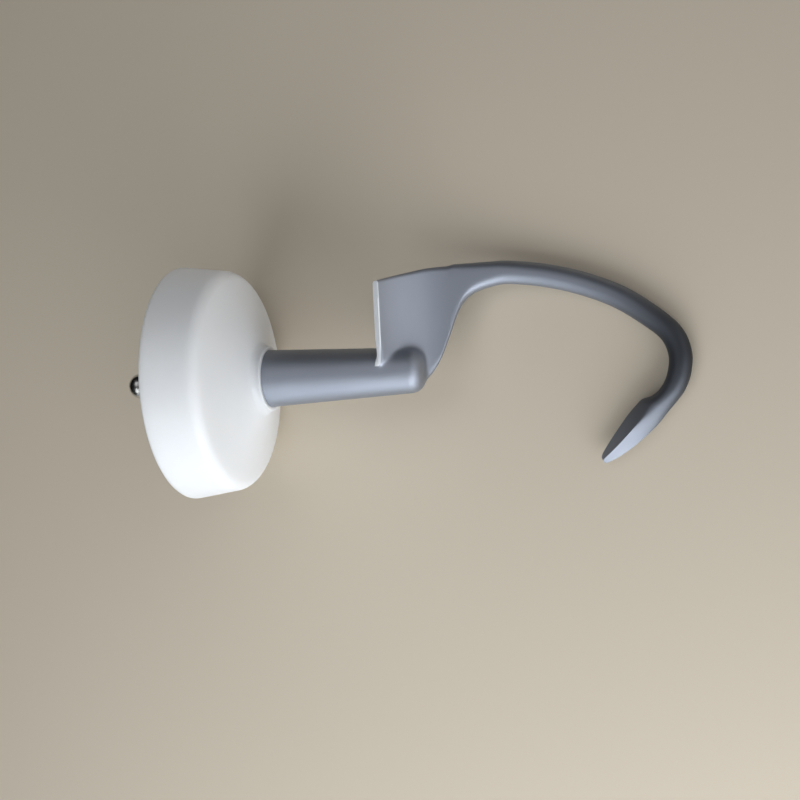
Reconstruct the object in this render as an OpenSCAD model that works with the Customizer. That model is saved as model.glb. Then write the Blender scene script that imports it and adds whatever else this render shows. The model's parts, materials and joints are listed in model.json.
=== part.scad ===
// Dough hook of a stand mixer, lying on a table as it comes to rest.
// Each piece is drawn upright to its own axis: X runs along the shank from the guard's rim to the
// hook, Y points to the back of the C, and Z looks at its open side. at_rest() then lays the
// whole part down on the guard and the two sides of the hook.

/* [Guard] */
// Diameter of the guard at its open rim
guard_rim_d = 72; // [69:0.5:80]
// Diameter at the shoulder, where the skirt ends
guard_shoulder_d = 67; // [60:0.5:68]
// Depth of the skirt, from the rim to the shoulder
guard_skirt_h = 16.3; // [12:0.1:20]
// Radius of the soft shoulder
guard_shoulder_r = 4.2; // [1:0.1:5]
// Height of the shallow cone above the shoulder
guard_cone_h = 7.9; // [4:0.1:12]
// Wall of the moulding
guard_wall = 2; // [1.2:0.1:2.5]
// Height of the collar that clasps the shank above the cone
collar_h = 2.2; // [1:0.1:5]
// Wall of the collar
collar_wall = 1.1; // [0.8:0.1:2]
// Radius of the hollow between the cone and the collar
collar_fillet_r = 2.5; // [0.5:0.1:2.6]
// Wall of the hub inside the cup
hub_wall = 2.5; // [1.5:0.1:4]
// Length of the hub below the shank's shoulder
hub_l = 14; // [10:0.5:16]

/* [Shank] */
// Diameter of the shank where it leaves the guard
shank_d = 17.6; // [15:0.1:20]
// Diameter that the shank tapers to at the end of its nose
shank_nose_d = 13.2; // [12:0.1:15]
// Length of the shank, from its shoulder in the guard to the end of its nose
shank_l = 50.5; // [45:0.5:65]
// Rounding of the nose
nose_round_r = 4; // [2:0.5:6]
// Diameter of the spigot that carries the guard's hub
spigot_d = 16; // [13:0.1:16]
// How far the spigot reaches past the hub into the cup
spigot_past_hub = 1.5; // [0.5:0.1:4]

/* [Hook] */
// From the end of the nose back to the straight edge of the web
web_edge_back = 11.8; // [10:0.1:14]
// From the web's straight edge to the far end of the C
hook_span = 88.8; // [75:0.1:100]
// From the shank's axis to the back of the C
hook_reach = 31.2; // [26:0.1:36]
// Diameter of the round bar
bar_d = 7; // [6:0.1:8]
// Thickness of the web at its straight edge
web_t = 2.4; // [2:0.1:3.5]
// Rake of the C against the shank's axis, in degrees
hook_rake = 15; // [13.5:0.1:16.5]
// Height of the bar's middle above the axis at the far end
hook_far_z = 2.2; // [1.5:0.1:4]
// How far the web curls up towards its straight edge
web_curl = 29.5; // [26:0.5:32]
// Length over which the curl dies away
web_curl_l = 18; // [16:0.5:22]

/* [Spindle] */
// Diameter of the spindle
spindle_d = 9; // [8.4:0.1:10]
// Diameter of the pilot, the thinner end of the spindle
pilot_d = 8; // [6:0.1:8.6]
// Length of the pilot, from its domed end to the bevel of the step
pilot_l = 10; // [8:0.1:10.4]
// Length of the step's bevel
step_l = 1; // [0.8:0.1:1.4]
// How far the pilot's domed end stands out past the guard's rim
spindle_out = 21.5; // [18:0.5:30]
// Depth of the spindle's seat in the shank, below the shoulder
spindle_seat_l = 20; // [12:0.5:30]
// Diameter of the drive pin across the spindle
drive_pin_d = 3; // [2:0.1:3.5]
// Length of the drive pin
drive_pin_l = 15; // [12:0.5:18]
// From the pilot's domed end to the drive pin
drive_pin_back = 13; // [13:0.5:16]

/* [Fits] */
// Gap round the spigot, the spindle and the drive pin
fit_gap = 0.04; // [0.02:0.01:0.08]

/* [Hidden] */
$fn = 96;
// How far a cut runs past the face that it opens
overrun = 1;
// Steps in each rounded corner of a turned outline
corner_steps = 8;
// Steps between two sections of the hook, and points round each ring
ring_steps = 3;
ring_points = 24;
// Steps in which the three resting points are found
rest_steps = 8;

shoulder_x = guard_skirt_h + guard_cone_h;
spigot_x = shoulder_x - hub_l - spigot_past_hub;
nose_x = shoulder_x + shank_l;
web_x = nose_x - web_edge_back;
far_x = web_x + hook_span;
spindle_end_x = shoulder_x + spindle_seat_l;
rim_round = guard_wall / 3;
shank_r = shank_d / 2;
nose_r = shank_nose_d / 2;
spigot_r = spigot_d / 2;
spindle_r = spindle_d / 2;
pilot_r = pilot_d / 2;
bore_r = spindle_r + fit_gap;
dome_x = pilot_r - spindle_out;
step_x = pilot_l - spindle_out;

// Sections of the hook, from the web's straight edge through the bar to the point of the spear.
// Each row holds the section's middle as shares of hook_span and hook_reach, its width as shares
// of hook_reach and bar_d, and its thickness as shares of web_t and bar_d. The two are added.
section_shares = [
    [0.000,  0.447,   0.804, 0.00,   1.00, 0.00],
    [0.016,  0.484,   0.763, 0.00,   1.00, 0.00],
    [0.030,  0.519,   0.724, 0.00,   1.00, 0.01],
    [0.046,  0.544,   0.704, 0.00,   1.00, 0.03],
    [0.068,  0.532,   0.769, 0.00,   1.00, 0.07],
    [0.093,  0.413,   1.045, 0.00,   1.00, 0.12],
    [0.133,  0.439,   1.050, 0.00,   0.87, 0.22],
    [0.172,  0.527,   0.870, 0.14,   0.70, 0.36],
    [0.207,  0.644,   0.600, 0.35,   0.53, 0.50],
    [0.231,  0.744,   0.350, 0.70,   0.35, 0.63],
    [0.256,  0.812,   0.200, 0.78,   0.23, 0.73],
    [0.294,  0.858,   0.080, 0.92,   0.12, 0.84],
    [0.355,  0.883,   0.000, 1.06,   0.00, 0.94],
    [0.420,  0.884,   0.000, 0.99,   0.00, 0.97],
    [0.546,  0.820,   0.000, 0.97,   0.00, 0.97],
    [0.672,  0.705,   0.000, 0.96,   0.00, 0.95],
    [0.788,  0.547,   0.000, 0.95,   0.00, 0.94],
    [0.892,  0.328,   0.000, 0.94,   0.00, 0.93],
    [0.943,  0.175,   0.000, 0.93,   0.00, 0.93],
    [0.963,  0.000,   0.000, 0.93,   0.00, 0.93],
    [0.956, -0.170,   0.000, 0.94,   0.00, 0.93],
    [0.935, -0.300,   0.000, 0.96,   0.00, 0.95],
    [0.905, -0.390,   0.000, 0.99,   0.00, 0.98],
    [0.874, -0.451,   0.000, 1.16,   0.00, 1.00],
    [0.849, -0.525,   0.000, 1.19,   0.00, 1.00],
    [0.814, -0.622,   0.000, 1.13,   0.00, 0.95],
    [0.777, -0.727,   0.000, 0.96,   0.00, 0.82],
    [0.739, -0.828,   0.000, 0.72,   0.00, 0.62],
    [0.711, -0.897,   0.000, 0.46,   0.00, 0.42],
    [0.701, -0.924,   0.000, 0.28,   0.00, 0.26]
];
// How far each section leans from the Y axis towards the far end, in degrees
section_leans = [
    0, 0, 0, 0, 0, 0, 0, 0, 0, 1, 2, 3, 2, -3, -14, -24, -34, -51, -66, -84, -91, -100, -111, -123,
    -133, -139, -142, -146, -150, -151
];
// Power of each section's rounded outline: 2 is round, more is fuller, and 1 is a diamond
section_powers = [
    2.6, 2.6, 2.6, 2.6, 2.6, 2.6, 2.6, 2.6, 2.6, 2.6, 2.5, 2.4, 2.3, 2.1, 2, 2, 2, 2, 2, 2, 2, 1.9,
    1.7, 1.45, 1.25, 1.1, 1, 1, 1, 1
];

function unit(v) = v / norm(v);

// Points of a round corner of radius r at b, between the lines to a and to c
function corner(a, b, c, r) =
    let (u = unit(a - b), v = unit(c - b), half = acos(u * v) / 2,
         o = b + unit(u + v) * r / sin(half),
         p = b + u * r / tan(half) - o, q = b + v * r / tan(half) - o)
    [for (k = [0:corner_steps]) o + r * unit(p * (corner_steps - k) + q * k)];

// The point that lies a wall's thickness inside the corner at b
function inside_corner(a, b, c, wall) =
    let (u = unit(a - b), v = unit(c - b))
    b + unit(u + v) * wall / sin(acos(u * v) / 2);

// Smooth value at t between b and c, with neighbours a and d
function spline(a, b, c, d, t) =
    b + t / 2 * (c - a + t * (2 * a - 5 * b + 4 * c - d + t * (3 * (b - c) + d - a)));

function row_at(rows, i) = rows[max(0, min(len(rows) - 1, i))];
function smooth_row(rows, place) =
    let (i = floor(place), t = place - i)
    spline(row_at(rows, i - 1), row_at(rows, i), row_at(rows, i + 1), row_at(rows, i + 2), t);

// Height and slope of the surface on which the middle of the web and the bar lie
function curl(x) = web_curl * exp((web_x - x) / web_curl_l);
function mid_z(x) = hook_far_z + (x - far_x) * tan(hook_rake) + curl(x) - curl(far_x);
function mid_slope(x) = tan(hook_rake) - curl(x) / web_curl_l;

// One point of a section outline: a flat of half length flat, with rounded ends
function power_of(v, power) = sign(v) * pow(abs(v), 2 / power);
function outline_point(half_w, half_t, power, angle) =
    let (stretch = max(0, 2 - power), flat = max(0, half_w - half_t) * (1 - stretch))
    [sign(cos(angle)) * flat + (half_w - flat) * power_of(cos(angle), power),
     half_t * power_of(sin(angle), power)];

// One ring of the hook. A round section stands square to the surface of the middles, and a
// diamond one stands upright.
function ring(place) =
    let (row = smooth_row(section_shares, place), lean = smooth_row(section_leans, place),
         power = smooth_row(section_powers, place),
         x = web_x + row[0] * hook_span, slope = mid_slope(x),
         along = unit([1, 0, slope]), square = max(0, min(1, power - 1)),
         up = unit([-slope * square, 0, 1]),
         side = [0, cos(lean), 0] - along * sin(lean), middle = [x, row[1] * hook_reach, mid_z(x)],
         half_w = (row[2] * hook_reach + row[3] * bar_d) / 2,
         half_t = (row[4] * web_t + row[5] * bar_d) / 2)
    [for (k = [0:ring_points - 1])
        let (p = outline_point(half_w, half_t, power, k * 360 / ring_points))
        middle + side * p[0] + up * p[1]];

ring_places = [for (k = [0:(len(section_shares) - 1) * ring_steps]) k / ring_steps];
hook_points = [for (place = ring_places) each ring(place)];

function skin_faces(rings, n) = [
    for (i = [0:rings - 2], k = [0:n - 1])
        let (a = i * n + k, b = i * n + (k + 1) % n)
        each [[a, a + n, b], [b, a + n, b + n]]
];

// How the part rests: on one point of the guard and one point on each side of the hook
function lowest(points, up) = points[search(min([for (p = points) p * up]), [for (p = points) p * up])[0]];
function guard_contact(up) =
    let (across = unit([0, up[1], up[2]]))
    lowest([for (p = guard_outline()) [p[1], 0, 0] - p[0] * across], up);
back_side = [for (p = hook_points) if (p[1] > 0) p];
tip_side = [for (p = hook_points) if (p[1] < 0 && p[0] > nose_x) p];
function rest_up(up, steps) =
    steps == 0 ? up :
    let (guard = guard_contact(up), tip = lowest(tip_side, up), back = lowest(back_side, up))
    rest_up(unit(cross(tip - guard, back - guard)), steps - 1);

up_dir = rest_up([0, 0, 1], rest_steps);
ahead_dir = unit([1, 0, 0] - up_dir[0] * up_dir);
side_dir = cross(up_dir, ahead_dir);
front_x = dome_x * ahead_dir[0] - pilot_r;
rear_x = max([for (p = hook_points) p * ahead_dir]);
rest_matrix = [
    [each ahead_dir, -(front_x + rear_x) / 2],
    [each side_dir, 0],
    [each up_dir, -guard_contact(up_dir) * up_dir],
    [0, 0, 0, 1]
];

module at_rest() {
    multmatrix(rest_matrix) children();
}

// Half section of the shank: the bore, the spigot, the shoulder, the taper and the rounded nose
function shank_outline() =
    concat(
        [[bore_r, spigot_x], [spigot_r, spigot_x], [spigot_r, shoulder_x], [shank_r, shoulder_x]],
        corner([shank_r, shoulder_x], [nose_r, nose_x], [0, nose_x], nose_round_r),
        [[0, nose_x], [0, spindle_end_x], [bore_r, spindle_end_x]]
    );

// A round bar along X from x to x + l, tapering from r1 to r2
module bar_x(x, l, r1, r2) {
    translate([x, 0, 0]) rotate([0, 90, 0]) cylinder(h = l, r1 = r1, r2 = r2);
}

// The casting's skin: plate, round bar and diamond spear in one sweep
module hook_sweep() {
    last = len(hook_points) - ring_points;
    caps = [
        [for (k = [0:ring_points - 1]) k],
        [for (k = [ring_points - 1:-1:0]) last + k]
    ];
    polyhedron(points = hook_points, faces = concat(caps, skin_faces(len(ring_places), ring_points)));
}

module hook() {
    color([0.56, 0.57, 0.61]) at_rest() {
        turned() polygon(shank_outline());
        hook_sweep();
    }
}

// Turns a half section, with the radius first and the place along the axis second
module turned() {
    rotate([0, 90, 0]) rotate_extrude() children();
}

// Half section of the guard, with the radius first and the height above the rim second
function guard_outline() =
    let (rim = [guard_rim_d / 2, 0], shoulder = [guard_shoulder_d / 2, guard_skirt_h],
         collar_r = shank_r + fit_gap + collar_wall,
         neck = [collar_r, shoulder_x], collar = [collar_r, shoulder_x + collar_h],
         hub_r = spigot_r + fit_gap + hub_wall,
         inner_rim = rim - [guard_wall, 0],
         inner_shoulder = inside_corner(rim, shoulder, neck, guard_wall),
         cone_slope = (neck[1] - shoulder[1]) / (shoulder[0] - neck[0]),
         hub_top = [hub_r, inner_shoulder[1] + (inner_shoulder[0] - hub_r) * cone_slope],
         hub_end = [hub_r, shoulder_x - hub_l])
    concat(
        corner(inner_rim, rim, shoulder, rim_round),
        corner(rim, shoulder, neck, guard_shoulder_r),
        corner(shoulder, neck, collar, collar_fillet_r),
        corner(neck, collar, [shank_r, collar[1]], collar_wall / 3),
        [[shank_r + fit_gap, collar[1]], [shank_r + fit_gap, shoulder_x], [spigot_r + fit_gap, shoulder_x],
         [spigot_r + fit_gap, hub_end[1]]],
        corner([spigot_r, hub_end[1]], hub_end, hub_top, rim_round),
        corner(hub_end, hub_top, inner_shoulder, guard_wall / 2),
        corner(hub_top, inner_shoulder, inner_rim, guard_shoulder_r - guard_wall / 2),
        corner(inner_shoulder, inner_rim, rim, rim_round)
    );

module dough_guard() {
    color([0.93, 0.94, 0.95]) at_rest() turned() polygon(guard_outline());
}

// The spindle: a domed pilot, a small bevelled step and the body that the shank holds
module drive_spindle() {
    body_x = step_x + step_l;
    color([0.75, 0.75, 0.74]) at_rest() difference() {
        union() {
            translate([dome_x, 0, 0]) sphere(r = pilot_r);
            bar_x(dome_x, step_x - dome_x, pilot_r, pilot_r);
            bar_x(step_x, step_l, pilot_r, spindle_r);
            bar_x(body_x, spindle_end_x - body_x, spindle_r, spindle_r);
        }
        drive_pin_bar(drive_pin_d / 2 + fit_gap, spindle_d + overrun);
    }
}

// A round bar across the spindle, along Y, at the drive pin's place
module drive_pin_bar(r, l) {
    translate([drive_pin_back - spindle_out, 0, 0]) rotate([90, 0, 0])
        cylinder(h = l, r = r, center = true);
}

module drive_pin() {
    color([0.7, 0.7, 0.69]) at_rest() drive_pin_bar(drive_pin_d / 2, drive_pin_l);
}

hook();
dough_guard();
drive_spindle();
drive_pin();
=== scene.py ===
# %% [markdown]
# # The dough hook of a stand mixer
# The real part is an aluminium casting with a white plastic guard pushed over its shank and a
# steel spindle fixed in it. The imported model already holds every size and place, so the first
# step is to load it. Each piece is then modelled again with finer surfaces in the same place.

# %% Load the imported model
import json
import math

import bmesh
import bpy
from mathutils import Matrix, Vector
from mathutils.bvhtree import BVHTree


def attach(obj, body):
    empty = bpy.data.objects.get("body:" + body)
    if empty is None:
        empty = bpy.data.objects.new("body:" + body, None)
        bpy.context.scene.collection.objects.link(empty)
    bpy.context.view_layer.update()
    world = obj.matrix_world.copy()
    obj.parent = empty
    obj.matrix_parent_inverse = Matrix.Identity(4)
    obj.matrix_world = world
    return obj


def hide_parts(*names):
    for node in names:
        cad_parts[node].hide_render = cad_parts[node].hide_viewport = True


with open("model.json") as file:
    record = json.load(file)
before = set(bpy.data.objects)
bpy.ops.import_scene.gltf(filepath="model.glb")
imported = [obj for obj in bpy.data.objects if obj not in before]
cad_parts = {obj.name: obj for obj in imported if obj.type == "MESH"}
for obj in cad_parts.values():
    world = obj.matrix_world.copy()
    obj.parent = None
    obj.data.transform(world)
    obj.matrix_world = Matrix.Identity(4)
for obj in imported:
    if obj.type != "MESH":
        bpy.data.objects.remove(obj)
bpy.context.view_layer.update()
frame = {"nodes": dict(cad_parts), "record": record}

# %% [markdown]
# ## The hook's own axes
# The part lies tilted on the table, which is awkward to model in. A toolmaker would measure it
# from its own axis instead: X along the shank from the guard's rim to the hook, Y to the back of
# the C, Z out of its open side. All three can be read from the model. The spindle's mount gives
# the axis, the cross pin gives Y, and the guard's rim is the lowest place along the axis.

# %% Find the hook's own axes
MM = 0.001
mount = frame["record"]["mounts"][0]
mount_place = Vector(mount["pos_m"])
along = -Vector(mount["axis"]).normalized()
pin_ends = [Vector(), Vector()]
for v in frame["nodes"]["drive_pin"].data.vertices:
    pin_ends[v.co.y > 0] += v.co
across_pin = pin_ends[1] - pin_ends[0]
back = (across_pin - along * across_pin.dot(along)).normalized()
up = along.cross(back)
rim_height = min(v.co.dot(along) for v in frame["nodes"]["dough_guard"].data.vertices)
rim_middle = mount_place + along * (rim_height - mount_place.dot(along))
own_axes = Matrix((along, back, up)).transposed()
own_to_row = Matrix.Translation(rim_middle) @ own_axes.to_4x4() @ Matrix.Scale(MM, 4)
print("the shank points down by", round(math.degrees(math.asin(-along.z)), 2), "degrees")

# %% [markdown]
# ## Camera
# The camera comes early, because every later choice is judged through it. It looks steeply down
# from past the hook's far end. Its place and aim are written in the hook's own millimetres, and
# a hint for the picture's upright sets how far it is rolled.

# %% Place the camera
CAMERA_PLACE = (162.0, -13.4, 343.2)
CAMERA_AIM = (66.7, -8.6, 0.0)
CAMERA_UPRIGHT = (0.05, 1.0, 0.0)
CAMERA_LENS = 54.0


def turned_to(direction, upright):
    """A turn that points an object's -Z along a direction, with its +Y near an upright."""
    backward = -direction.normalized()
    right = upright.cross(backward).normalized()
    return Matrix((right, backward.cross(right), backward)).transposed().to_4x4()


camera = bpy.data.objects.new("camera", bpy.data.cameras.new("camera"))
camera.data.lens = CAMERA_LENS
camera.data.clip_start = 0.01
place = own_to_row @ Vector(CAMERA_PLACE)
aim = own_to_row @ Vector(CAMERA_AIM)
upright = own_to_row.to_3x3() @ Vector(CAMERA_UPRIGHT)
camera.matrix_world = Matrix.Translation(place) @ turned_to(aim - place, upright)
bpy.context.scene.collection.objects.link(camera)
bpy.context.scene.camera = camera
print("the camera is", round((aim - place).length, 3), "m from what it looks at")

# %% [markdown]
# ## Shared surface effects
# Cast, moulded and turned surfaces are never quite even. Two effects come back in several
# finishes, so each is built once as a node group: a fine grain that only feeds bumps, and a
# slow mottle that shifts colour and gloss. Both read Object coordinates, in metres.

# %% Build the node groups
def new_group(name, inputs, outputs):
    """An empty node group with named number inputs and outputs."""
    group = bpy.data.node_groups.new(name, "ShaderNodeTree")
    for label, default in inputs:
        socket = group.interface.new_socket(label, in_out="INPUT", socket_type="NodeSocketFloat")
        socket.default_value = default
    for label in outputs:
        group.interface.new_socket(label, in_out="OUTPUT", socket_type="NodeSocketFloat")
    return group, group.nodes.new("NodeGroupInput"), group.nodes.new("NodeGroupOutput")


def grain_group():
    """Height of a fine, even grain, as a cast or moulded skin has."""
    group, inside, outside = new_group(
        "skin_grain", [("Grains per metre", 2500.0), ("Unevenness", 0.5)], ["Height"]
    )
    place = group.nodes.new("ShaderNodeTexCoord")
    noise = group.nodes.new("ShaderNodeTexNoise")
    noise.inputs["Detail"].default_value = 3.0
    group.links.new(place.outputs["Object"], noise.inputs["Vector"])
    group.links.new(inside.outputs["Grains per metre"], noise.inputs["Scale"])
    group.links.new(inside.outputs["Unevenness"], noise.inputs["Roughness"])
    group.links.new(noise.outputs["Fac"], outside.inputs["Height"])
    return group


def mottle_group():
    """A slow mottle from 0 to 1, for patches of colour and gloss."""
    group, inside, outside = new_group(
        "slow_mottle", [("Patches per metre", 60.0), ("Contrast", 1.0)], ["Mask"]
    )
    place = group.nodes.new("ShaderNodeTexCoord")
    noise = group.nodes.new("ShaderNodeTexNoise")
    noise.inputs["Detail"].default_value = 4.0
    centred = group.nodes.new("ShaderNodeMath")
    centred.operation = "SUBTRACT"
    centred.inputs[1].default_value = 0.5
    spread = group.nodes.new("ShaderNodeMath")
    spread.operation = "MULTIPLY_ADD"
    spread.inputs[2].default_value = 0.5
    spread.use_clamp = True
    group.links.new(place.outputs["Object"], noise.inputs["Vector"])
    group.links.new(inside.outputs["Patches per metre"], noise.inputs["Scale"])
    group.links.new(noise.outputs["Fac"], centred.inputs[0])
    group.links.new(centred.outputs[0], spread.inputs[0])
    group.links.new(inside.outputs["Contrast"], spread.inputs[1])
    group.links.new(spread.outputs[0], outside.inputs["Mask"])
    return group


SKIN_GRAIN = grain_group()
SLOW_MOTTLE = mottle_group()
print("node groups:", SKIN_GRAIN.name, SLOW_MOTTLE.name)

# %% [markdown]
# ## One way to start every finish
# All the finishes here are a Principled BSDF with the same skeleton: the mottle mixes two close
# colours and moves the roughness a little, and the grain lifts the normal by a few micrometres.
# A function holds that skeleton, and each finish below only says its own numbers.

# %% Finish helper
MOTTLE_CONTRAST = 1.6


def add_group(material, group, **values):
    """Puts a node group into a material, with its inputs set."""
    node = material.node_tree.nodes.new("ShaderNodeGroup")
    node.node_tree = group
    for label, value in values.items():
        node.inputs[label.replace("_", " ")].default_value = value
    return node


def new_finish(name, colours, roughness, patches, grains, grain_height):
    """A Principled finish whose colour and gloss drift a little, over a fine grain."""
    material = bpy.data.materials.new(name)
    material.use_nodes = True
    nodes = material.node_tree.nodes
    links = material.node_tree.links
    shader = nodes["Principled BSDF"]
    mottle = add_group(material, SLOW_MOTTLE, Patches_per_metre=patches, Contrast=MOTTLE_CONTRAST)
    colour = nodes.new("ShaderNodeMix")
    colour.data_type = "RGBA"
    colour.inputs["A"].default_value = (*colours[0], 1.0)
    colour.inputs["B"].default_value = (*colours[1], 1.0)
    links.new(mottle.outputs["Mask"], colour.inputs["Factor"])
    links.new(colour.outputs["Result"], shader.inputs["Base Color"])
    gloss = nodes.new("ShaderNodeMapRange")
    gloss.inputs["To Min"].default_value = roughness[0]
    gloss.inputs["To Max"].default_value = roughness[1]
    links.new(mottle.outputs["Mask"], gloss.inputs["Value"])
    links.new(gloss.outputs["Result"], shader.inputs["Roughness"])
    grain = add_group(material, SKIN_GRAIN, Grains_per_metre=grains)
    bump = nodes.new("ShaderNodeBump")
    bump.inputs["Distance"].default_value = grain_height
    links.new(grain.outputs["Height"], bump.inputs["Height"])
    links.new(bump.outputs["Normal"], shader.inputs["Normal"])
    return material, shader


# %% [markdown]
# ## The finish of the casting
# The casting has a satin grey coat with a faint blue cast. Its shading is soft and broad, yet it
# turns nearly black where it faces away from the light, which paint alone wouldn't do. So it is
# a dark metal with a high roughness, and the highlight on the shank is one wide band.

# %% Make the casting's finish
casting_finish, casting_shader = new_finish(
    "satin_casting",
    colours=((0.318, 0.342, 0.392), (0.338, 0.362, 0.416)),
    roughness=(0.52, 0.60),
    patches=45.0,
    grains=2600.0,
    grain_height=0.00002,
)
casting_shader.inputs["Metallic"].default_value = 1.0
print("made", casting_finish.name)

# %% [markdown]
# ## Two soft tones on the casting
# In the photo the web looks paler and the bend of the C darker than these lamps make them. The
# real coat is most likely one colour, and the difference is room light that the lamps don't
# match. So these tones are a stand-in for light, painted into the finish: they stay with the
# part under any other light, where the bend will look too dark. A tone of 1 takes one away.
# Each multiplies the base colour round a place and fades out over a reach, so it shows no
# border. Places and reaches are in the row's metres, as Object coordinates are.

# %% Lay the two tones
BEND_PLACE = (0.084, 0.0, 0.005)
BEND_REACH = 0.042
BEND_TONE = 0.20
WEB_PLACE = (0.0, 0.020, 0.03)
WEB_REACH = 0.030
WEB_TONE = 1.3


def tone_round(material, shader, centre, reach, tone):
    """Multiplies a finish's colour by a tone round a place, which fades out over a reach."""
    nodes = material.node_tree.nodes
    links = material.node_tree.links
    place = nodes.new("ShaderNodeTexCoord")
    away = nodes.new("ShaderNodeVectorMath")
    away.operation = "DISTANCE"
    away.inputs[1].default_value = centre
    fade = nodes.new("ShaderNodeMapRange")
    fade.interpolation_type = "SMOOTHSTEP"
    fade.inputs["From Max"].default_value = reach
    fade.inputs["To Min"].default_value = tone
    fade.inputs["To Max"].default_value = 1.0
    mix = nodes.new("ShaderNodeMix")
    mix.data_type = "RGBA"
    mix.blend_type = "MULTIPLY"
    mix.inputs["Factor"].default_value = 1.0
    links.new(place.outputs["Object"], away.inputs[0])
    links.new(away.outputs["Value"], fade.inputs["Value"])
    links.new(shader.inputs["Base Color"].links[0].from_socket, mix.inputs["A"])
    links.new(fade.outputs["Result"], mix.inputs["B"])
    links.new(mix.outputs["Result"], shader.inputs["Base Color"])


tone_round(casting_finish, casting_shader, BEND_PLACE, BEND_REACH, BEND_TONE)
tone_round(casting_finish, casting_shader, WEB_PLACE, WEB_REACH, WEB_TONE)
print("the coat is toned at", BEND_PLACE, "and", WEB_PLACE)

# %% [markdown]
# ## The finish of the guard
# The guard is a white satin moulding. Light travels a few millimetres inside such plastic, which
# softens its shading, so all of its body colour is subsurface, with a short reach.

# %% Make the guard's finish
guard_finish, guard_shader = new_finish(
    "white_moulding",
    colours=((0.82, 0.84, 0.87), (0.85, 0.87, 0.90)),
    roughness=(0.40, 0.48),
    patches=30.0,
    grains=1800.0,
    grain_height=0.000015,
)
guard_shader.inputs["Subsurface Weight"].default_value = 1.0
guard_shader.inputs["Subsurface Radius"].default_value = (1.0, 0.95, 0.9)
guard_shader.inputs["Subsurface Scale"].default_value = 0.006
print("made", guard_finish.name)

# %% [markdown]
# ## The finishes of the spindle and its pin
# The spindle is taken as turned and polished steel, which mirrors the room. In the photo its dome
# is dark above and bright below, and these lamps give it small bright spots instead. The cross
# pin, which the photo doesn't show, is a little duller. Both are pure metal.

# %% Make the steel finishes
spindle_finish, spindle_shader = new_finish(
    "polished_spindle",
    colours=((0.60, 0.59, 0.57), (0.66, 0.65, 0.63)),
    roughness=(0.22, 0.30),
    patches=160.0,
    grains=5200.0,
    grain_height=0.000004,
)
spindle_shader.inputs["Metallic"].default_value = 1.0
pin_finish, pin_shader = new_finish(
    "ground_pin",
    colours=((0.52, 0.51, 0.50), (0.60, 0.59, 0.57)),
    roughness=(0.22, 0.32),
    patches=220.0,
    grains=6500.0,
    grain_height=0.000006,
)
pin_shader.inputs["Metallic"].default_value = 1.0
print("made", spindle_finish.name, pin_finish.name)

# %% [markdown]
# ## Putting a piece in place
# A shape is modelled in its own millimetres. When it is done it is turned into the row's metres,
# its doubles are merged, its faces are turned outwards, it is hung under the root body, and the
# CAD node that it stands for is hidden. The object itself stays at the origin.

# %% Piece helper
SMOOTH_BELOW = math.radians(32)
MERGE_BELOW = 0.001
SLIVER_BELOW = 0.0005


def add_piece(name, mesh, node, finish):
    """Makes an object of a mesh in row metres, and hides the CAD node that it replaces."""
    mesh.shade_smooth()
    mesh.set_sharp_from_angle(angle=SMOOTH_BELOW)
    mesh.materials.clear()
    mesh.materials.append(finish)
    piece = bpy.data.objects.new(name, mesh)
    bpy.context.scene.collection.objects.link(piece)
    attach(piece, "root")
    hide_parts(node)
    mesh.calc_loop_triangles()
    print(name, "has", len(mesh.loop_triangles), "triangles")


def mesh_of(bm, name, matrix):
    """Closes a bmesh, turns its faces outwards and moves it through a matrix into a new mesh."""
    bmesh.ops.remove_doubles(bm, verts=bm.verts, dist=MERGE_BELOW)
    bmesh.ops.dissolve_degenerate(bm, edges=bm.edges, dist=SLIVER_BELOW)
    bmesh.ops.recalc_face_normals(bm, faces=bm.faces)
    bmesh.ops.transform(bm, matrix=matrix, verts=bm.verts)
    mesh = bpy.data.meshes.new(name)
    bm.to_mesh(mesh)
    bm.free()
    return mesh


# %% [markdown]
# ## Turning a piece on the lathe
# The guard, the spindle, the pin and the shank are all turned shapes. Each starts as a flat half
# section in the X-Y plane. Its corners are rounded with vertex bevels, and then the outline is
# spun round X. An edge that lies on the axis is taken out first, or it would sweep no surface.

# %% Lathe helper
FULL_TURN = 2 * math.pi


def turned_shape(corners, corner_steps, turn_steps):
    """A bmesh spun round X. Each corner is its place along X, its radius out, and its rounding."""
    bm = bmesh.new()
    verts = [bm.verts.new((x, r, 0.0)) for x, r, rounding in corners]
    face = bm.faces.new(verts)
    count = len(corners)
    for i, (x, r, rounding) in enumerate(corners):
        if rounding:
            before = Vector(corners[i - 1][:2]) - Vector((x, r))
            after = Vector(corners[(i + 1) % count][:2]) - Vector((x, r))
            reach = rounding / math.tan(before.angle(after) / 2)
            bmesh.ops.bevel(
                bm, geom=[verts[i]], offset=reach, offset_type="OFFSET", segments=corner_steps,
                profile=0.5, affect="VERTICES", material=-1,
            )
    bmesh.ops.delete(bm, geom=bm.faces[:], context="FACES_ONLY")
    on_axis = [edge for edge in bm.edges if all(abs(v.co.y) < 1e-6 for v in edge.verts)]
    bmesh.ops.delete(bm, geom=on_axis, context="EDGES")
    bmesh.ops.spin(
        bm, geom=bm.verts[:] + bm.edges[:], cent=(0, 0, 0), axis=(1, 0, 0), dvec=(0, 0, 0),
        angle=FULL_TURN, steps=turn_steps, use_merge=True, use_duplicate=False,
    )
    bmesh.ops.remove_doubles(bm, verts=bm.verts, dist=MERGE_BELOW)
    return bm


# %% [markdown]
# ## Sizes of the turned pieces
# These are the real sizes in millimetres, measured along the axis from the guard's rim.

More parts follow.
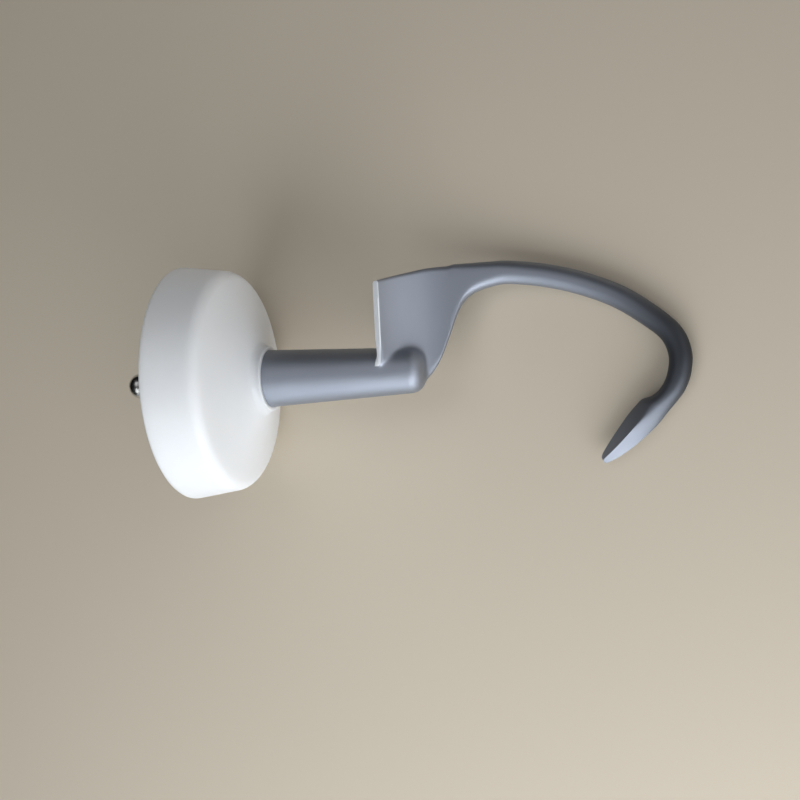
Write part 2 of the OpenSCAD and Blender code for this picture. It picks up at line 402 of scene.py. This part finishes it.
# %% Sizes
RIM_R = 36.0
SHOULDER_X = 16.3
SHOULDER_R = 33.5
SHOULDER_ROUND = 4.2
NECK_X = 24.2
COLLAR_H = 2.2
GUARD_WALL = 2.0
SHANK_R = 8.8
NOSE_R = 6.6
NOSE_X = 74.7
NOSE_ROUND = 4.0
NOSE_STEPS = 16
SPIGOT_R = 8.0
SPIGOT_X = 8.7
SPIGOT_ROUND = 0.4
SHANK_LIP_ROUND = 0.3
FIT_GAP = 0.04
COLLAR_WALL = 1.1
COLLAR_R = SHANK_R + FIT_GAP + COLLAR_WALL
COLLAR_HOLLOW = 2.5
COLLAR_ROUND = 0.37
HUB_WALL = 2.5
HUB_R = SPIGOT_R + FIT_GAP + HUB_WALL
HUB_X = 10.2
SPINDLE_R = 4.5
SPINDLE_END_X = 44.2
SPINDLE_END_ROUND = 0.4
PILOT_R = 4.0
PILOT_X = -21.5
STEP_X = -11.5
STEP_L = 1.0
PIN_R = 1.5
PIN_HALF_L = 7.5
PIN_X = -8.5
PIN_END_ROUND = 0.3
print("the guard is", 2 * RIM_R, "mm across and", NECK_X + COLLAR_H, "mm deep")

# %% [markdown]
# ## The guard
# The guard is one hollow moulding: a skirt, a soft shoulder, a shallow cone, and a collar that
# clasps the shank. Inside the cup a hub sits on the casting's spigot. One closed outline goes up
# the outside, down the bore and back along the inside, so the wall has its real thickness.

# %% Turn the guard
def inner_corner(before, corner, after, wall):
    """The corner of the inside surface, one wall in from an outside corner."""
    to_before = (Vector(before) - Vector(corner)).normalized()
    to_after = (Vector(after) - Vector(corner)).normalized()
    inward = (to_before + to_after).normalized()
    return Vector(corner) + inward * wall / math.sin(to_before.angle(to_after) / 2)


inner_shoulder = inner_corner(
    (0, RIM_R), (SHOULDER_X, SHOULDER_R), (NECK_X, COLLAR_R), GUARD_WALL
)
cone_slope = (NECK_X - SHOULDER_X) / (SHOULDER_R - COLLAR_R)
hub_top_x = inner_shoulder.x + (inner_shoulder.y - HUB_R) * cone_slope
RIM_ROUND = GUARD_WALL / 3
guard_corners = [
    (0, RIM_R, RIM_ROUND),
    (SHOULDER_X, SHOULDER_R, SHOULDER_ROUND),
    (NECK_X, COLLAR_R, COLLAR_HOLLOW),
    (NECK_X + COLLAR_H, COLLAR_R, COLLAR_ROUND),
    (NECK_X + COLLAR_H, SHANK_R + FIT_GAP, 0),
    (NECK_X, SHANK_R + FIT_GAP, 0),
    (NECK_X, SPIGOT_R + FIT_GAP, 0),
    (HUB_X, SPIGOT_R + FIT_GAP, 0),
    (HUB_X, HUB_R, RIM_ROUND),
    (hub_top_x, HUB_R, GUARD_WALL / 2),
    (inner_shoulder.x, inner_shoulder.y, SHOULDER_ROUND - GUARD_WALL / 2),
    (0, RIM_R - GUARD_WALL, RIM_ROUND),
]
guard_turning = turned_shape(guard_corners, corner_steps=8, turn_steps=192)
guard_mesh = mesh_of(guard_turning, "dough_guard_skin", own_to_row)
add_piece("dough_guard_skin", guard_mesh, "dough_guard", guard_finish)

# %% [markdown]
# ## The spindle and its cross pin
# The spindle is a steel bar with a domed pilot. The dome is a corner whose rounding is as large
# as the pilot's radius. The pin's hole is drilled with a Boolean, and the pin has small bevels.

# %% Turn the spindle and the pin
spindle_corners = [
    (SPINDLE_END_X, 0, 0),
    (SPINDLE_END_X, SPINDLE_R, SPINDLE_END_ROUND),
    (STEP_X + STEP_L, SPINDLE_R, 0),
    (STEP_X, PILOT_R, 0),
    (PILOT_X, PILOT_R, PILOT_R),
    (PILOT_X, 0, 0),
]
quarter_turn = Matrix.Rotation(math.radians(90), 4, "Z")
across = own_to_row @ Matrix.Translation((PIN_X, 0, 0)) @ quarter_turn


def bar_corners(radius, rounding):
    """The half section of a bar as long as the pin."""
    return [
        (-PIN_HALF_L, 0, 0),
        (-PIN_HALF_L, radius, rounding),
        (PIN_HALF_L, radius, rounding),
        (PIN_HALF_L, 0, 0),
    ]


def applied_mesh(piece):
    """The mesh that an object has once its modifiers have run."""
    evaluated = piece.evaluated_get(bpy.context.evaluated_depsgraph_get())
    return bpy.data.meshes.new_from_object(evaluated)


def temporary(name, mesh):
    """An object that only helps to shape another one."""
    helper = bpy.data.objects.new(name, mesh)
    bpy.context.scene.collection.objects.link(helper)
    return helper


pin_turning = turned_shape(bar_corners(PIN_R, PIN_END_ROUND), corner_steps=4, turn_steps=48)
pin_mesh = mesh_of(pin_turning, "drive_pin_bar", across)
add_piece("drive_pin_bar", pin_mesh, "drive_pin", pin_finish)
drill_turning = turned_shape(bar_corners(PIN_R + FIT_GAP, 0), corner_steps=1, turn_steps=48)
drill = temporary("pin_drill", mesh_of(drill_turning, "pin_drill", across))
spindle_turning = turned_shape(spindle_corners, corner_steps=12, turn_steps=96)
blank = temporary("spindle_blank", mesh_of(spindle_turning, "spindle_blank", own_to_row))
hole = blank.modifiers.new("pin_hole", "BOOLEAN")
hole.operation = "DIFFERENCE"
hole.solver = "EXACT"
hole.object = drill
spindle_mesh = applied_mesh(blank)
for helper in (blank, drill):
    bpy.data.objects.remove(helper)
add_piece("drive_spindle_bar", spindle_mesh, "drive_spindle", spindle_finish)

# %% [markdown]
# ## The skin of the hook
# Plate, round bar and spear are one casting with no seam between them, so they are one sweep.
# Each row below is a section of it: where its middle lies, how wide and thick it is, how far it
# leans, and how square or pointed its outline is. The middle follows a surface that is nearly
# flat along the bar and curls up under the web.

# %% Sections of the sweep
WEB_X = 62.9
HOOK_SPAN = 88.8
HOOK_REACH = 31.2
BAR_D = 7.0
WEB_T = 2.4
HOOK_RAKE = math.tan(math.radians(15))
HOOK_FAR_Z = 2.2
WEB_CURL = 29.5
WEB_CURL_L = 18.0
FAR_X = WEB_X + HOOK_SPAN
# Along and reach, width by reach and by bar, thickness by web and by bar, lean, power.
# A power of 2 is round, more is fuller, and 1 is a diamond.
SECTIONS = [
    (0.000, 0.447, 0.804, 0.00, 1.00, 0.00, 0, 2.6),
    (0.016, 0.484, 0.763, 0.00, 1.00, 0.00, 0, 2.6),
    (0.030, 0.519, 0.724, 0.00, 1.00, 0.01, 0, 2.6),
    (0.046, 0.544, 0.704, 0.00, 1.00, 0.03, 0, 2.6),
    (0.068, 0.532, 0.769, 0.00, 1.00, 0.07, 0, 2.6),
    (0.093, 0.413, 1.045, 0.00, 1.00, 0.12, 0, 2.6),
    (0.133, 0.439, 1.050, 0.00, 0.87, 0.22, 0, 2.6),
    (0.172, 0.527, 0.870, 0.14, 0.70, 0.36, 0, 2.6),
    (0.207, 0.644, 0.600, 0.35, 0.53, 0.50, 0, 2.6),
    (0.231, 0.744, 0.350, 0.70, 0.35, 0.63, 1, 2.6),
    (0.256, 0.812, 0.200, 0.78, 0.23, 0.73, 2, 2.5),
    (0.294, 0.858, 0.080, 0.92, 0.12, 0.84, 3, 2.4),
    (0.355, 0.883, 0.000, 1.06, 0.00, 0.94, 2, 2.3),
    (0.420, 0.884, 0.000, 0.99, 0.00, 0.97, -3, 2.1),
    (0.546, 0.820, 0.000, 0.97, 0.00, 0.97, -14, 2),
    (0.672, 0.705, 0.000, 0.96, 0.00, 0.95, -24, 2),
    (0.788, 0.547, 0.000, 0.95, 0.00, 0.94, -34, 2),
    (0.892, 0.328, 0.000, 0.94, 0.00, 0.93, -51, 2),
    (0.943, 0.175, 0.000, 0.93, 0.00, 0.93, -66, 2),
    (0.963, 0.000, 0.000, 0.93, 0.00, 0.93, -84, 2),
    (0.956, -0.170, 0.000, 0.94, 0.00, 0.93, -91, 2),
    (0.935, -0.300, 0.000, 0.96, 0.00, 0.95, -100, 1.9),
    (0.905, -0.390, 0.000, 0.99, 0.00, 0.98, -111, 1.7),
    (0.874, -0.451, 0.000, 1.16, 0.00, 1.00, -123, 1.45),
    (0.849, -0.525, 0.000, 1.19, 0.00, 1.00, -133, 1.25),
    (0.814, -0.622, 0.000, 1.13, 0.00, 0.95, -139, 1.1),
    (0.777, -0.727, 0.000, 0.96, 0.00, 0.82, -142, 1),
    (0.739, -0.828, 0.000, 0.72, 0.00, 0.62, -146, 1),
    (0.711, -0.897, 0.000, 0.46, 0.00, 0.42, -150, 1),
    (0.701, -0.924, 0.000, 0.28, 0.00, 0.26, -151, 1),
]


def between_sections(place):
    """A section between two rows, on a smooth curve through all of them."""
    i = int(place)
    t = place - i
    rows = [SECTIONS[min(max(i + step, 0), len(SECTIONS) - 1)] for step in (-1, 0, 1, 2)]
    return [
        b + t / 2 * (c - a + t * (2 * a - 5 * b + 4 * c - d + t * (3 * (b - c) + d - a)))
        for a, b, c, d in zip(*rows)
    ]


def curl(x):
    """How far the web has curled up at a place along the axis."""
    return WEB_CURL * math.exp((WEB_X - x) / WEB_CURL_L)


def middle_height(x):
    """Height of the surface on which the middle of the sweep lies."""
    return HOOK_FAR_Z + (x - FAR_X) * HOOK_RAKE + curl(x) - curl(FAR_X)


print("the web's straight edge is", round(middle_height(WEB_X), 1), "mm above the shank's axis")

# %% [markdown]
# ## Sweeping it
# A circle is the first ring. Its edges are extruded again and again, and each new ring is moved
# into the shape and place of its own section. Every vertex keeps its turn round the circle in a
# layer, so a new ring knows which point is which without any counting. A round section stands
# square to the surface of the middles, and a diamond one stands upright, as in the CAD. A wide
# section has a flat middle, which only a few of a ring's points cross: those whose cosine is
# below one in FLAT_CROSSING. The rest crowd to its rounded ends, where they are needed.

# %% Sweep helper
RING_POINTS = 64
RINGS_BETWEEN = 10
FLAT_CROSSING = 6


def signed_power(value, power):
    """A power of a cosine or sine that keeps its sign."""
    return math.copysign(abs(value) ** (2 / power), value)


def section_frame(place):
    """Middle, forward and upward directions of the section at a place, and its row."""
    row = between_sections(place)
    x = WEB_X + row[0] * HOOK_SPAN
    slope = HOOK_RAKE - curl(x) / WEB_CURL_L
    square = max(0.0, min(1.0, row[7] - 1))
    middle = Vector((x, row[1] * HOOK_REACH, middle_height(x)))
    ahead = Vector((1, 0, slope)).normalized()
    above = Vector((-slope * square, 0, 1)).normalized()
    return middle, ahead, above, row


def shape_ring(verts, turn, place):
    """Moves a ring's vertices onto the section at a place."""
    middle, ahead, above, row = section_frame(place)
    lean = math.radians(row[6])
    side = Vector((0, math.cos(lean), 0)) - ahead * math.sin(lean)
    half_width = (row[2] * HOOK_REACH + row[3] * BAR_D) / 2
    half_height = (row[4] * WEB_T + row[5] * BAR_D) / 2
    power = row[7]
    flat = max(0.0, half_width - half_height) * (1 - max(0.0, 2 - power))
    for v in verts:
        c = math.cos(v[turn])
        s = math.sin(v[turn])
        along_flat = max(-1.0, min(1.0, FLAT_CROSSING * c))
        across_width = along_flat * flat + (half_width - flat) * signed_power(c, power)
        v.co = middle + side * across_width + above * half_height * signed_power(s, power)


def swept_skin(first, last, ends):
    """Skin of the sweep between two places, with a cap on each end that is named."""
    bm = bmesh.new()
    turn = bm.verts.layers.float.new("turn")
    verts = bmesh.ops.create_circle(bm, segments=RING_POINTS, radius=1.0)["verts"]
    for v in verts:
        v[turn] = math.atan2(v.co.y, v.co.x)
    edges = bm.edges[:]
    rims = {"first": edges}
    shape_ring(verts, turn, first)
    steps = round((last - first) * RINGS_BETWEEN)
    for step in range(1, steps + 1):
        new = bmesh.ops.extrude_edge_only(bm, edges=edges)["geom"]
        ring = {item for item in new if isinstance(item, bmesh.types.BMVert)}
        edges = [
            item for item in new
            if isinstance(item, bmesh.types.BMEdge) and all(v in ring for v in item.verts)
        ]
        shape_ring(ring, turn, first + step / RINGS_BETWEEN)
    rims["last"] = edges
    for end in ends:
        bmesh.ops.edgeloop_fill(bm, edges=rims[end])
    bmesh.ops.recalc_face_normals(bm, faces=bm.faces)
    return bm


# %% [markdown]
# ## The shank
# The shank is turned as well: a spigot for the guard's hub, a shoulder, a slow taper and a
# rounded nose, with the blind bore that holds the spindle.

# %% Turn the shank
BORE_R = SPINDLE_R + FIT_GAP
shank_corners = [
    (SPIGOT_X, BORE_R, 0),
    (SPIGOT_X, SPIGOT_R, SPIGOT_ROUND),
    (NECK_X, SPIGOT_R, 0),
    (NECK_X, SHANK_R, SHANK_LIP_ROUND),
    (NOSE_X, NOSE_R, NOSE_ROUND),
    (NOSE_X, 0, 0),
    (SPINDLE_END_X, 0, 0),
    (SPINDLE_END_X, BORE_R, 0),
]
shank = turned_shape(shank_corners, NOSE_STEPS, turn_steps=160)
print("the shank has", len(shank.faces), "faces")

# %% [markdown]
# ## The root of the web
# On the real casting the web grows out of the shank through a soft fillet. Edge bevels rarely
# work on the slanting line where two such shapes cross. So only this root, the web as far as
# ROOT_END and the shank, is joined by a voxel remesh into small even cells. Each vertex then
# looks for both of the shapes that it came from. Away from the line it goes back onto the exact
# surface. Near the line its weight grows, and a Smooth modifier relaxes it into the fillet.

# %% Join and relax the root
ROOT_END = 8
CELL = 0.32
FILLET_REACH = 5.0
FILLET_STEPS = 90

web = swept_skin(0, ROOT_END + 1, ("first", "last"))
shank_surface = BVHTree.FromBMesh(shank)
web_surface = BVHTree.FromBMesh(web)
shank_blank = temporary("shank_blank", mesh_of(shank, "shank_blank", Matrix.Identity(4)))
root = temporary("rough_root", mesh_of(web, "rough_root", Matrix.Identity(4)))
union = root.modifiers.new("union", "BOOLEAN")
union.operation = "UNION"
union.solver = "EXACT"
union.object = shank_blank
cells = root.modifiers.new("cells", "REMESH")
cells.mode = "VOXEL"
cells.voxel_size = CELL
relaxed = temporary("relaxed_root", applied_mesh(root))
for helper in (root, shank_blank):
    bpy.data.objects.remove(helper)

near_both = relaxed.vertex_groups.new(name="near_both")
for v in relaxed.data.vertices:
    on_shank, _, _, to_shank = shank_surface.find_nearest(v.co)
    on_web, _, _, to_web = web_surface.find_nearest(v.co)
    weight = 1 - (to_shank + to_web) / FILLET_REACH
    if weight > 0:
        near_both.add([v.index], weight * weight * (3 - 2 * weight), "REPLACE")
    v.co = on_shank if to_shank < to_web else on_web
fillet = relaxed.modifiers.new("fillet", "SMOOTH")
fillet.factor = 0.5
fillet.iterations = FILLET_STEPS
fillet.vertex_group = "near_both"
root_mesh = applied_mesh(relaxed)
bpy.data.objects.remove(relaxed)
print("the root has", len(root_mesh.vertices), "vertices")

# %% [markdown]
# ## Bridging root and bar
# The remeshed root is cut square to the sweep at ROOT_END. The bar and the spear keep the clean
# rings of the sweep, so the spear's ridge stays crisp. Both open rims lie on the same section
# shape, a ring apart, and bridging them makes one closed skin.

# %% Bridge the root to the bar
TIP_ROUND = 0.25

middle, ahead, _, _ = section_frame(ROOT_END)
casting = bmesh.new()
casting.from_mesh(root_mesh)
bmesh.ops.bisect_plane(
    casting, geom=casting.verts[:] + casting.edges[:] + casting.faces[:], plane_co=middle,
    plane_no=ahead, clear_outer=True, dist=0.01,
)
bar = swept_skin(ROOT_END + 1 / RINGS_BETWEEN, len(SECTIONS) - 1, ("last",))
tip_rim = max(bar.faces, key=lambda face: len(face.verts)).edges[:]
bmesh.ops.bevel(
    bar, geom=tip_rim, offset=TIP_ROUND, offset_type="OFFSET", segments=3, profile=0.5,
    affect="EDGES", material=-1, clamp_overlap=True,
)
bar_mesh = bpy.data.meshes.new("bar")
bar.to_mesh(bar_mesh)
bar.free()
casting.from_mesh(bar_mesh)
open_rims = [edge for edge in casting.edges if edge.is_boundary]
bmesh.ops.bridge_loops(casting, edges=open_rims)
print("edges still open:", sum(edge.is_boundary for edge in casting.edges))
hook_mesh = mesh_of(casting, "hook_casting_skin", own_to_row)
add_piece("hook_casting_skin", hook_mesh, "hook", casting_finish)

# %% [markdown]
# ## The painted highlight on the straight edge
# A bright strip runs along the web's straight edge, where the edge catches the light. It may be
# bare ground metal or only a reflection in the coat, and here it is taken as bare metal. Here it
# is a painted highlight: the finish turns pale and only partly metallic there. A second material
# would need faces that end exactly at the edge, which the remeshed root doesn't have. So the
# finish itself gets a mask: a thin slab along the edge that four soft planes bound. The low
# metallic weight isn't measured: a full metal came out darker than the strip under these lamps.

# %% Paint a highlight on the straight edge
# Colour and metallic weight of the painted highlight along the web's straight edge.
EDGE_HIGHLIGHT_COLOUR = (0.92, 0.95, 0.99, 1.0)
EDGE_HIGHLIGHT_METALLIC = 0.3
PLANE_FADE = 0.1 * MM
HIGHLIGHT_INTO_WEB = 0.3 * MM
HIGHLIGHT_BEFORE_EDGE = 0.7 * MM
HIGHLIGHT_BELOW_MIDDLE = 1.5 * MM


def paint_edge_highlight(material, shader, place, planes):
    """Paints a pale highlight past every plane. Each is a direction and a distance from the place.
    """
    nodes = material.node_tree.nodes
    links = material.node_tree.links
    here = nodes.new("ShaderNodeTexCoord")
    from_place = nodes.new("ShaderNodeVectorMath")
    from_place.operation = "SUBTRACT"
    from_place.inputs[1].default_value = place
    links.new(here.outputs["Object"], from_place.inputs[0])
    masks = []
    for direction, distance in planes:
        depth = nodes.new("ShaderNodeVectorMath")
        depth.operation = "DOT_PRODUCT"
        depth.inputs[1].default_value = direction
        links.new(from_place.outputs["Vector"], depth.inputs[0])
        fade = nodes.new("ShaderNodeMapRange")
        fade.inputs["From Min"].default_value = distance - PLANE_FADE
        fade.inputs["From Max"].default_value = distance + PLANE_FADE
        links.new(depth.outputs["Value"], fade.inputs["Value"])
        masks.append(fade.outputs["Result"])
    highlight_mask = masks[0]
    for mask in masks[1:]:
        both = nodes.new("ShaderNodeMath")
        both.operation = "MULTIPLY"
        links.new(highlight_mask, both.inputs[0])
        links.new(mask, both.inputs[1])
        highlight_mask = both.outputs[0]
    # Past the planes the colour turns pale and less metallic: a painted highlight.
    mix = nodes.new("ShaderNodeMix")
    mix.data_type = "RGBA"
    mix.inputs["B"].default_value = EDGE_HIGHLIGHT_COLOUR
    links.new(highlight_mask, mix.inputs["Factor"])
    links.new(shader.inputs["Base Color"].links[0].from_socket, mix.inputs["A"])
    links.new(mix.outputs["Result"], shader.inputs["Base Color"])
    highlight_metallic = nodes.new("ShaderNodeMapRange")
    highlight_metallic.inputs["To Min"].default_value = 1.0
    highlight_metallic.inputs["To Max"].default_value = EDGE_HIGHLIGHT_METALLIC
    links.new(highlight_mask, highlight_metallic.inputs["Value"])
    links.new(highlight_metallic.outputs["Result"], shader.inputs["Metallic"])


edge_middle, edge_ahead, edge_above, edge_row = section_frame(0)
edge_length = (edge_row[2] * HOOK_REACH + edge_row[3] * BAR_D) * MM
# Paints a highlight: a pale, partly metallic colour in a thin slab along the web's straight edge.
paint_edge_highlight(
    casting_finish,
    casting_shader,
    own_to_row @ edge_middle,
    (
        (own_axes @ -edge_ahead, -HIGHLIGHT_INTO_WEB),
        (own_axes @ edge_ahead, -HIGHLIGHT_BEFORE_EDGE),
        (own_axes @ edge_above, -HIGHLIGHT_BELOW_MIDDLE),
        (back, PLANE_FADE - edge_length / 2),
    ),
)
print("the bare edge is", round(edge_length / MM, 1), "mm long")

# %% [markdown]
# ## Floor
# The part lies on a plain table. The floor is one plane in a warm pale colour.

# %% Lay the floor
FLOOR_SIZE = 6.0
FLOOR_COLOUR = (0.64, 0.56, 0.445, 1.0)
FLOOR_ROUGHNESS = 0.6

floor_bm = bmesh.new()
bmesh.ops.create_grid(floor_bm, x_segments=1, y_segments=1, size=FLOOR_SIZE / 2)
floor_mesh = bpy.data.meshes.new("floor")
floor_bm.to_mesh(floor_mesh)
floor_bm.free()
floor = bpy.data.objects.new("floor", floor_mesh)
bpy.context.scene.collection.objects.link(floor)
floor_finish = bpy.data.materials.new("plain_floor")
floor_finish.use_nodes = True
floor_shader = floor_finish.node_tree.nodes["Principled BSDF"]
floor_shader.inputs["Base Color"].default_value = FLOOR_COLOUR
floor_shader.inputs["Roughness"].default_value = FLOOR_ROUGHNESS
floor_mesh.materials.append(floor_finish)
print("the floor is", FLOOR_SIZE, "m wide")

# %% [markdown]
# ## Light
# Satin metal shows the room as much as the lamps, so both matter. The window stands to the front
# left and lays the soft shadows behind the part. A long low window in front makes the broad
# highlight along the shank and the spear. A card near the front right fills the curled web, and
# a high card behind and a weak ceiling keep the upward faces from going black. Places and
# strengths were found by comparing the colours of renders with the photo's at named points.

# %% Set the lamps
AIM = (0.0, 0.0, 0.02)
# Name, place and aim in metres, size, watts and colour.
LAMPS = (
    ("window", (-0.10, -0.34, 0.40), AIM, (0.40, 0.36), 0.85, (0.93, 0.97, 1.0)),
    ("low_window", (0.10, -0.587, 0.125), AIM, (1.1, 0.22), 1.8, (0.84, 0.92, 1.0)),
    ("near_card", (0.22, -0.32, 0.18), (0.05, -0.06, 0.0), (0.5, 0.2), 1.1, (0.95, 0.97, 1.0)),
    ("high_card", (-0.08, 0.20, 0.52), (-0.03, 0.0, 0.03), (0.45, 0.35), 0.42, (0.96, 0.97, 1.0)),
    ("ceiling", (0.05, 0.0, 0.70), AIM, (0.5, 0.5), 0.15, (0.98, 0.98, 1.0)),
)


def soft_lamp(name, place, aim, size, watts, colour):
    """A rectangular area lamp that looks at a point."""
    lamp = bpy.data.lights.new(name, "AREA")
    lamp.shape = "RECTANGLE"
    lamp.size, lamp.size_y = size
    lamp.energy = watts
    lamp.color = colour
    holder = bpy.data.objects.new(name, lamp)
    towards = turned_to(Vector(aim) - Vector(place), Vector((0, 0, 1)))
    holder.matrix_world = Matrix.Translation(place) @ towards
    bpy.context.scene.collection.objects.link(holder)


for lamp_row in LAMPS:
    soft_lamp(*lamp_row)
print("lamps:", [lamp_row[0] for lamp_row in LAMPS])

# %% [markdown]
# ## The room
# The room is dark behind the part and on its left, and light on its right near the horizon,
# which is what the web mirrors. Generated coordinates give each view direction, so its X is how
# far to the right the direction points. Squaring it keeps the light near the horizon. Standard
# view shows each colour about as it is written.

# %% Build the room
ROOM_COLOUR = (0.95, 0.97, 1.0, 1.0)
ROOM_RIGHT = 1.1
ROOM_POWER = 2.0

world = bpy.data.worlds.new("room")
world.use_nodes = True
room_nodes = world.node_tree.nodes
room = room_nodes["Background"]
room.inputs["Color"].default_value = ROOM_COLOUR
direction = room_nodes.new("ShaderNodeTexCoord")
parts = room_nodes.new("ShaderNodeSeparateXYZ")
world.node_tree.links.new(direction.outputs["Generated"], parts.inputs["Vector"])
strength = parts.outputs["X"]
for operation, amount in (("MAXIMUM", 0.0), ("POWER", ROOM_POWER), ("MULTIPLY", ROOM_RIGHT)):
    step = room_nodes.new("ShaderNodeMath")
    step.operation = operation
    step.inputs[1].default_value = amount
    world.node_tree.links.new(strength, step.inputs[0])
    strength = step.outputs[0]
world.node_tree.links.new(strength, room.inputs["Strength"])
bpy.context.scene.world = world
bpy.context.scene.view_settings.view_transform = "Standard"
print("the room's light on the right is", ROOM_RIGHT)
